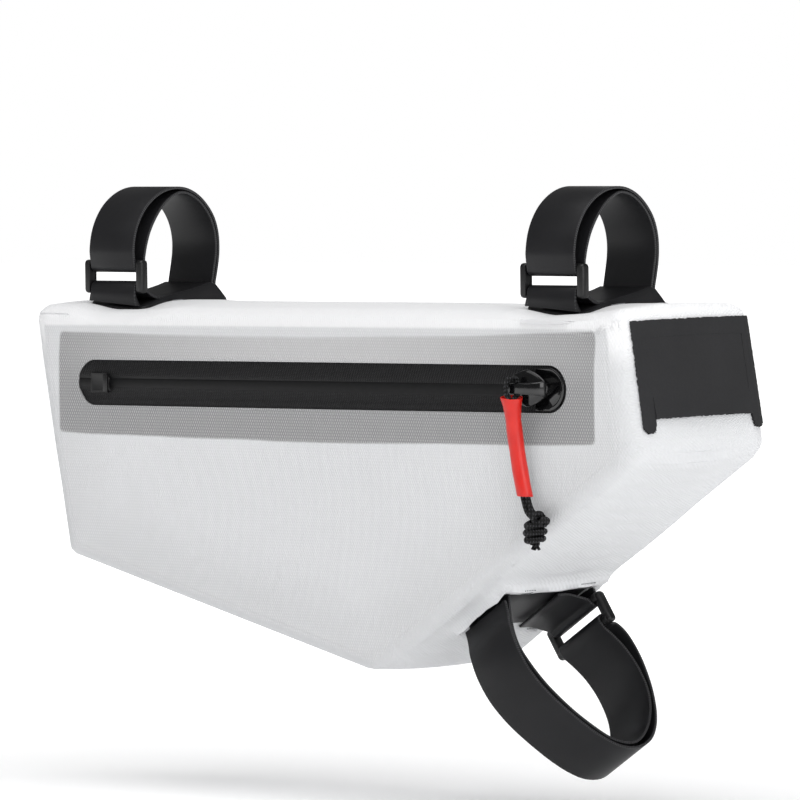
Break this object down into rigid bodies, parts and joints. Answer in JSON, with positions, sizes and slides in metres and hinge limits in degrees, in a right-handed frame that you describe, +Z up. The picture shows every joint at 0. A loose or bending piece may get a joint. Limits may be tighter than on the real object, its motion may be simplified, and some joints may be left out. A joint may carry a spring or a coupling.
{
  "type": "bicycle frame bag",
  "caption": "Slim welded fabric bag for the inside of a bicycle frame, with a watertight side zip, a corded pull and strap loops for the top tube and the down tube.",
  "frame": {"origin": "middle of the space that the top tube takes, halfway between the two top straps", "axes": "+X to the front of the bicycle along the top tube, +Z up, and the zipped side faces -Y"},
  "size_m": [0.3292, 0.0959, 0.2358],
  "materials": {
    "hull_fabric": "white coated ripstop laminate, matt",
    "backing_film": "grey film seen through the white fabric",
    "zip_tape": "coated black zip tape",
    "zip_plastic": "moulded, glossy",
    "cord": "braided cord",
    "sleeve_rubber": "smooth red tube, satin",
    "strap": "coated strap, matt, slightly grained",
    "ring_plastic": "moulded, satin",
    "cover_fabric": "dark grey coated fabric, cut edges"
  },
  "bodies": {
    "root": {"side_panel_near": "hull_fabric", "side_panel_far": "hull_fabric", "gusset": "hull_fabric", "zip_backing": "backing_film", "zip_tape_upper": "zip_tape", "zip_tape_lower": "zip_tape", "zip_end_stop": "zip_plastic", "zip_garage": "zip_plastic", "zip_slider": "zip_plastic", "pull_cord_rear": "cord", "pull_cord_front": "cord", "pull_sleeve": "sleeve_rubber", "pull_knot": "cord", "rear_strap": "strap", "rear_anchor": "strap", "rear_ring": "ring_plastic", "front_strap": "strap", "front_anchor": "strap", "front_ring": "ring_plastic", "tube_strap": "strap", "tube_anchor": "strap", "tube_ring": "ring_plastic", "port_frame": "cover_fabric", "port_flap": "cover_fabric"}
  },
  "joints": []
}
